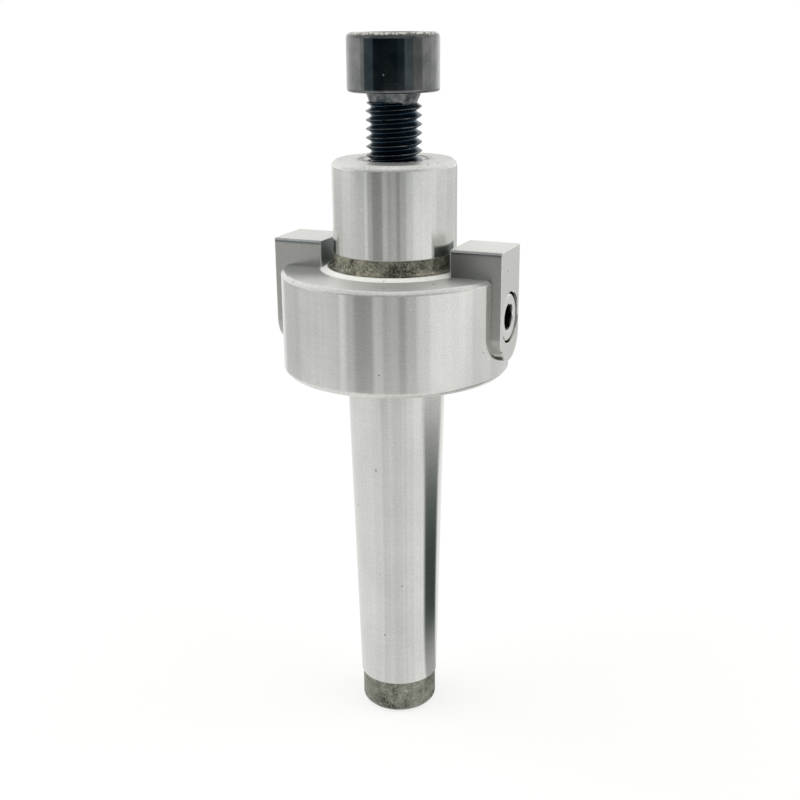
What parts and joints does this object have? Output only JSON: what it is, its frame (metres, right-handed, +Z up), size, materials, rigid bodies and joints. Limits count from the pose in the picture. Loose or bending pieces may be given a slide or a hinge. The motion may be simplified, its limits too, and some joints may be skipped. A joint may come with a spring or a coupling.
{
  "type": "face mill arbor",
  "caption": "Taper-shank arbor for a face mill, with a ground pilot, a flange with screwed drive keys, and a socket head clamp screw part way out of the pilot.",
  "frame": {"origin": "centre of the shank's small end face", "axes": "+Z up along the arbor's axis, from the small end to the clamp screw; the drive keys lie on +X and -X"},
  "size_m": [0.0434, 0.041, 0.1278],
  "materials": {
    "ground_steel": "fine ground, satin, with an unground brown neck and small end",
    "key_steel": "surface ground, satin",
    "screw_steel": "plated, bright",
    "black_steel": "black oxide, oiled, semi-gloss"
  },
  "bodies": {
    "arbor": {"arbor_body": "ground_steel", "drive_key_right": "key_steel", "drive_key_left": "key_steel", "key_screw_right": "screw_steel", "key_screw_left": "screw_steel"},
    "clamp": {"clamp_screw": "black_steel"}
  },
  "joints": [
    {"name": "clamp_screw_travel", "type": "slide", "parent": "arbor", "child": "clamp", "axis": [0, 0, 1], "range_m": [-0.0113, 0.012]}
  ]
}
